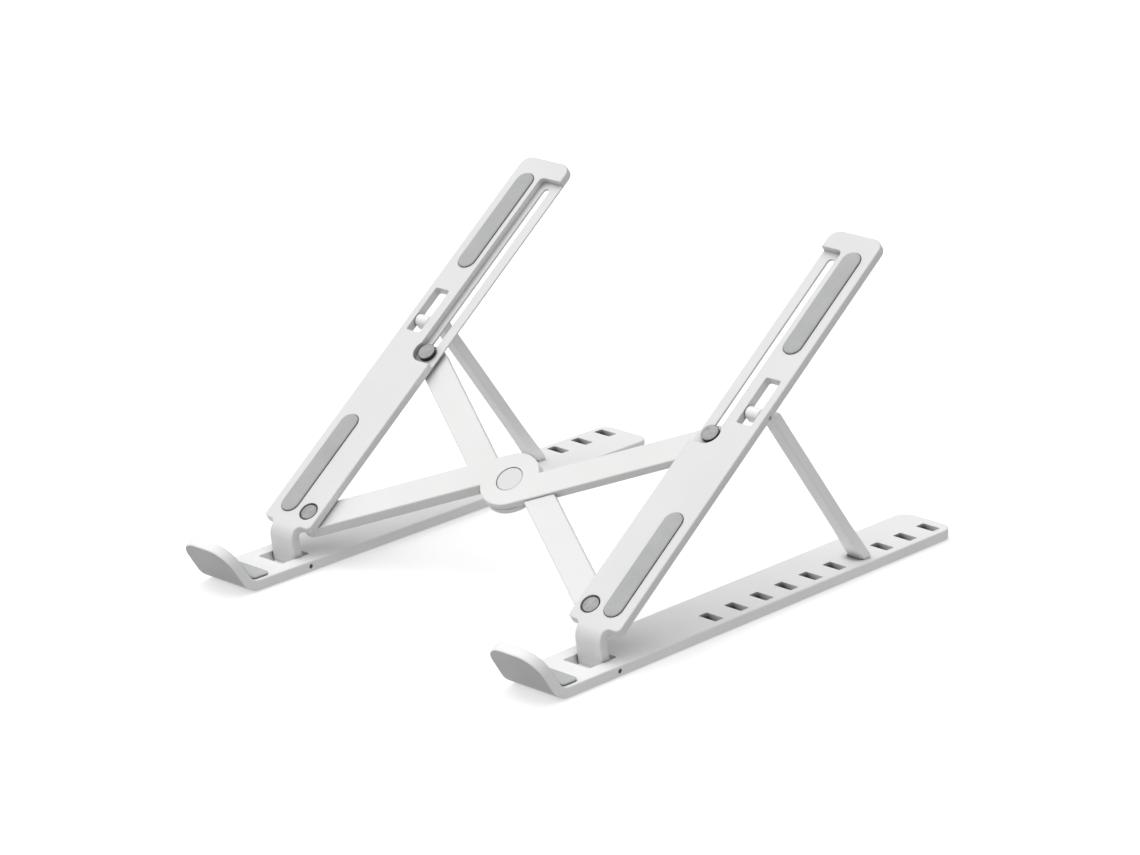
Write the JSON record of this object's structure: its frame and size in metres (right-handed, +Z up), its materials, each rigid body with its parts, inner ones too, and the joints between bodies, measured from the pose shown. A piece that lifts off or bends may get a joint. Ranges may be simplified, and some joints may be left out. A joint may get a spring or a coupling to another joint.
{
  "type": "folding laptop stand",
  "caption": "Folding laptop stand: two sloping arms on slotted floor rails with upturned lips, joined by an offset scissor of flat bars and propped by swing-out struts.",
  "frame": {"origin": "on the floor, in the middle of the open stand's outline", "axes": "X across the stand, +Y from the lips towards the raised ends of the arms, +Z up"},
  "size_m": [0.1814, 0.2386, 0.1294],
  "materials": {
    "frame_plastic": "fine-textured white moulded plastic",
    "bar_plastic": "smooth white moulded plastic",
    "strut_plastic": "smooth white moulded plastic",
    "cap_plastic": "satin white cap",
    "grip_rubber": "matt grey silicone",
    "hook_rubber": "matt light grey silicone",
    "foot_rubber": "matt dark grey silicone",
    "rivet_steel": "turned steel heads",
    "pin_steel": "dark steel pins",
    "washer_nylon": "natural nylon"
  },
  "bodies": {
    "left_rail": {"left_rail": "frame_plastic", "left_hook_pad": "hook_rubber", "left_rail_pin": "pin_steel", "left_front_foot": "foot_rubber", "left_rear_foot": "foot_rubber"},
    "left_arm": {"left_arm": "frame_plastic", "left_upper_pad": "grip_rubber", "left_lower_pad": "grip_rubber", "left_strut_pin": "pin_steel", "left_pivot_rivet": "rivet_steel", "left_pivot_washer": "washer_nylon"},
    "left_strut": {"left_strut": "strut_plastic"},
    "bar_a": {"bar_a": "bar_plastic", "right_slider_rivet": "rivet_steel", "right_slider_washer": "washer_nylon", "centre_rivet": "cap_plastic"},
    "bar_b": {"bar_b": "bar_plastic", "left_slider_rivet": "rivet_steel", "left_slider_washer": "washer_nylon"},
    "right_rail": {"right_rail": "frame_plastic", "right_hook_pad": "hook_rubber", "right_rail_pin": "pin_steel", "right_front_foot": "foot_rubber", "right_rear_foot": "foot_rubber"},
    "right_arm": {"right_arm": "frame_plastic", "right_upper_pad": "grip_rubber", "right_lower_pad": "grip_rubber", "right_strut_pin": "pin_steel", "right_pivot_rivet": "rivet_steel", "right_pivot_washer": "washer_nylon"},
    "right_strut": {"right_strut": "strut_plastic"}
  },
  "joints": [
    {"name": "arm_lift", "type": "hinge", "parent": "left_rail", "child": "left_arm", "pos_m": [-0.0782, -0.0747, 0.0026], "axis": [1, 0, 0], "range_deg": [0, 55.5]},
    {"name": "left_strut_swing", "type": "hinge", "parent": "left_arm", "child": "left_strut", "pos_m": [-0.0837, 0.00663, 0.07685], "axis": [1, 0, 0], "range_deg": [-88.8, 0]},
    {"name": "width_fold", "type": "hinge", "parent": "left_arm", "child": "bar_a", "pos_m": [-0.0718, -0.06222, 0.01212], "axis": [0, -0.6065, 0.7951], "range_deg": [0, 56]},
    {"name": "scissor_centre", "type": "hinge", "parent": "bar_a", "child": "bar_b", "pos_m": [0, -0.03015, 0.03659], "axis": [0, -0.6065, 0.7951], "range_deg": [-112, 0]},
    {"name": "right_pivot", "type": "hinge", "parent": "bar_b", "child": "right_arm", "pos_m": [0.0718, -0.06222, 0.01212], "axis": [0, -0.6065, 0.7951], "range_deg": [0, 56]},
    {"name": "right_strut_swing", "type": "hinge", "parent": "right_arm", "child": "right_strut", "pos_m": [0.0837, 0.00663, 0.07685], "axis": [1, 0, 0], "range_deg": [-88.8, 0]},
    {"name": "right_rail_swing", "type": "hinge", "parent": "right_arm", "child": "right_rail", "pos_m": [0.0782, -0.0747, 0.0026], "axis": [1, 0, 0], "range_deg": [-55.5, 0]}
  ],
  "couplings": [
    {"joint": "left_strut_swing", "follows": "arm_lift", "ratio": -1.6},
    {"joint": "right_strut_swing", "follows": "arm_lift", "ratio": -1.6},
    {"joint": "right_rail_swing", "follows": "arm_lift", "ratio": -1},
    {"joint": "scissor_centre", "follows": "width_fold", "ratio": -2},
    {"joint": "right_pivot", "follows": "width_fold", "ratio": 1}
  ]
}
